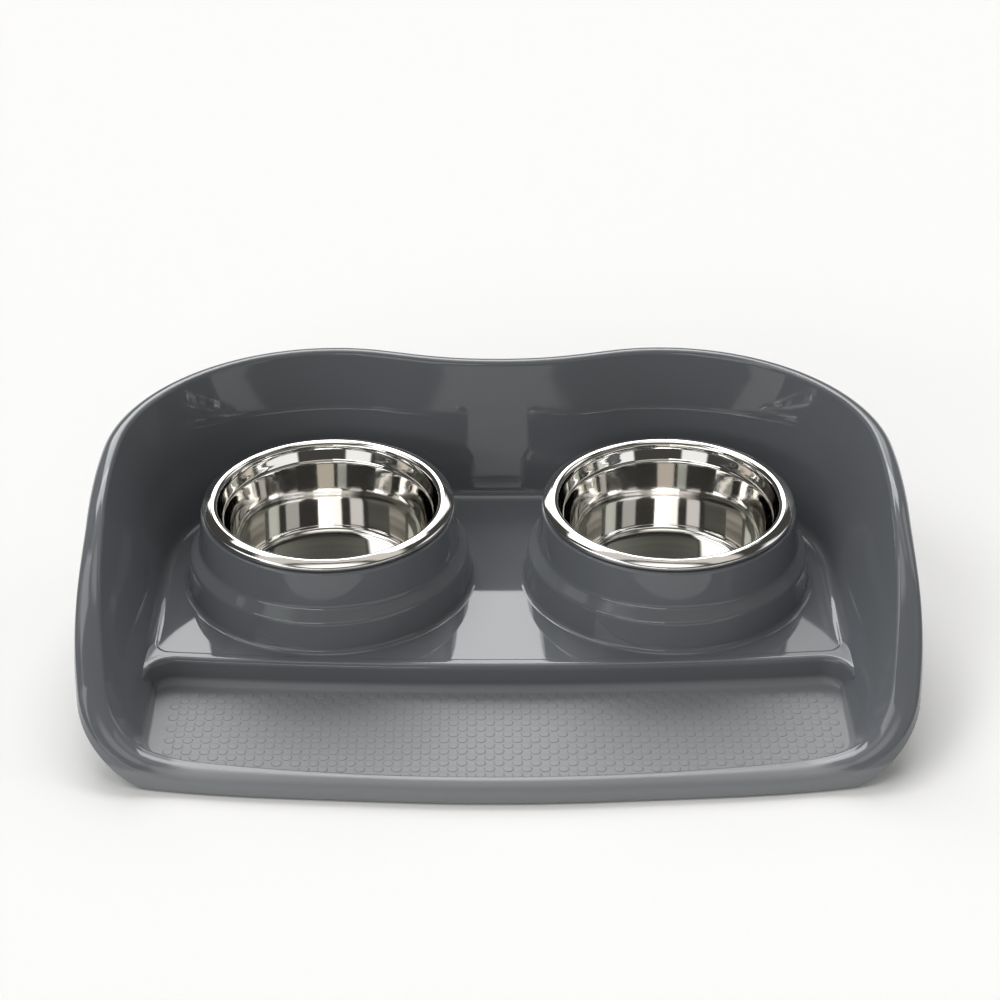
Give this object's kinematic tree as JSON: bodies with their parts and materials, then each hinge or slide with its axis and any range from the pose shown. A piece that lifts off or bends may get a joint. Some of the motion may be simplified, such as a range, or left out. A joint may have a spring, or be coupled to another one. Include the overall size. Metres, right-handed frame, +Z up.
{
  "type": "raised double pet bowl",
  "caption": "Raised double pet bowl: steel bowls that lift out of one moulded grey tray with a tall splash wall, a rolled rim and a sunken apron in front.",
  "frame": {"origin": "middle of the tray's footprint on the table, at the underside of the rubber feet", "axes": "+X to the right and +Y to the back as seen from the apron's side, +Z up"},
  "size_m": [0.511, 0.3539, 0.1183],
  "materials": {
    "grey_plastic": "glossy",
    "polished_steel": "polished",
    "foot_rubber": "matte"
  },
  "bodies": {
    "tray_body": {"tray": "grey_plastic", "foot_front_left": "foot_rubber", "foot_front_right": "foot_rubber", "foot_rear_left": "foot_rubber", "foot_rear_right": "foot_rubber"},
    "bowl_left_body": {"bowl_left": "polished_steel"},
    "bowl_right_body": {"bowl_right": "polished_steel"}
  },
  "joints": [
    {"name": "bowl_left_lift", "type": "slide", "parent": "tray_body", "child": "bowl_left_body", "axis": [0, 0, 1], "range_m": [0, 0.1]},
    {"name": "bowl_right_lift", "type": "slide", "parent": "tray_body", "child": "bowl_right_body", "axis": [0, 0, 1], "range_m": [0, 0.1]}
  ]
}
